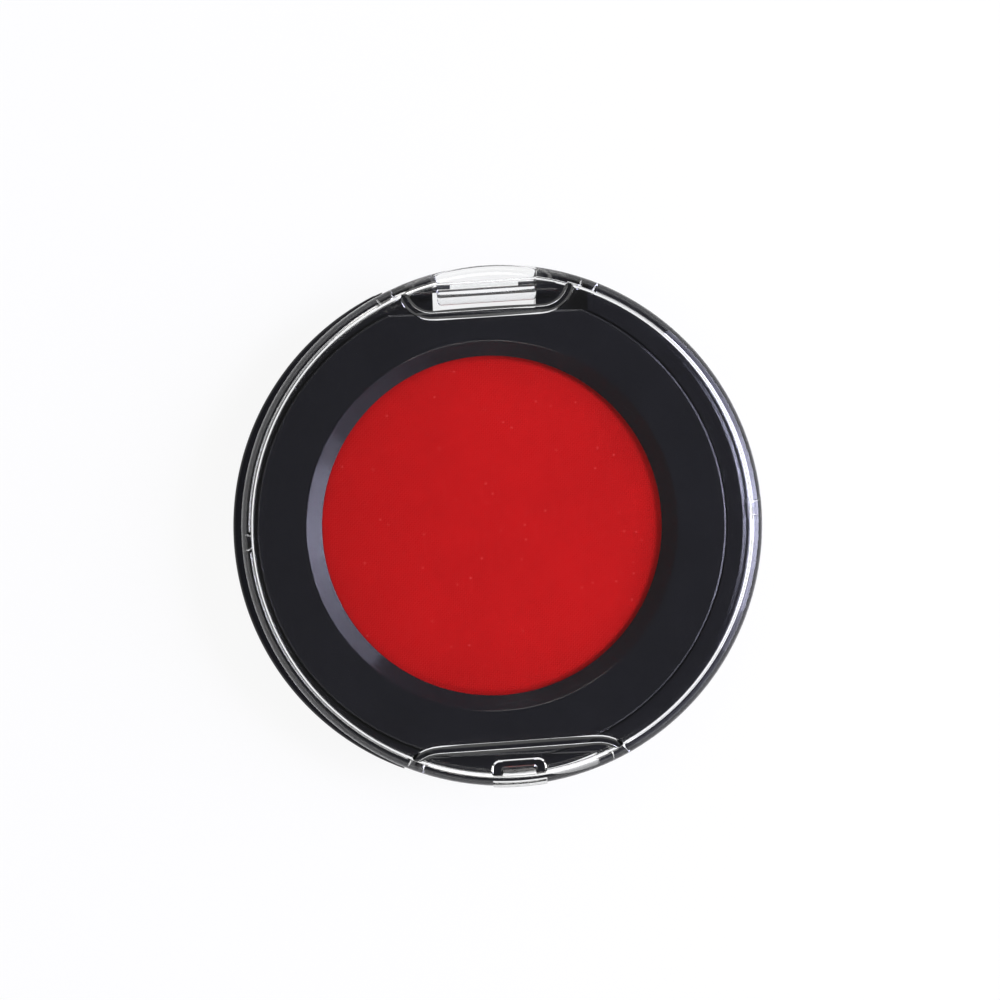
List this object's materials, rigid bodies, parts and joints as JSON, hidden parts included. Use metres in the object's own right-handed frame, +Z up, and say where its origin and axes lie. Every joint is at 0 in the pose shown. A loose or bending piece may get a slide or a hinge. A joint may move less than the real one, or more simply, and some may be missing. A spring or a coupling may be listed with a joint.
{
  "type": "fingerprint ink pad",
  "caption": "Round ink pad in a compact case: a red cloth pad framed by a bevelled ring in a black base, under a clear domed lid that hinges at the back and snaps shut in front.",
  "frame": {"origin": "centre of the flat underside of the base", "axes": "+Z up through the lid, +Y towards the hinge, the thumb recess faces -Y"},
  "size_m": [0.066, 0.066, 0.0144],
  "materials": {
    "black_plastic": "moulded, high gloss",
    "clear_plastic": "moulded, water clear, polished",
    "inked_cloth": "fine plain weave, damp with red ink",
    "inked_felt": "dense felt soaked with red ink",
    "tray_plastic": "moulded, satin",
    "adhesive_foam": "soft foam tape",
    "pin_steel": "drawn wire, cut ends"
  },
  "bodies": {
    "base": {"base_shell": "black_plastic", "deck_ring": "black_plastic", "tray_adhesive": "adhesive_foam", "ink_tray": "tray_plastic", "ink_felt": "inked_felt", "ink_cloth": "inked_cloth", "hinge_pin_left": "pin_steel", "hinge_pin_right": "pin_steel"},
    "lid": {"lid": "clear_plastic"}
  },
  "joints": [
    {"name": "lid_hinge", "type": "hinge", "parent": "base", "child": "lid", "pos_m": [0, 0.0303, 0.0073], "axis": [-1, 0, 0], "range_deg": [0, 110]}
  ]
}
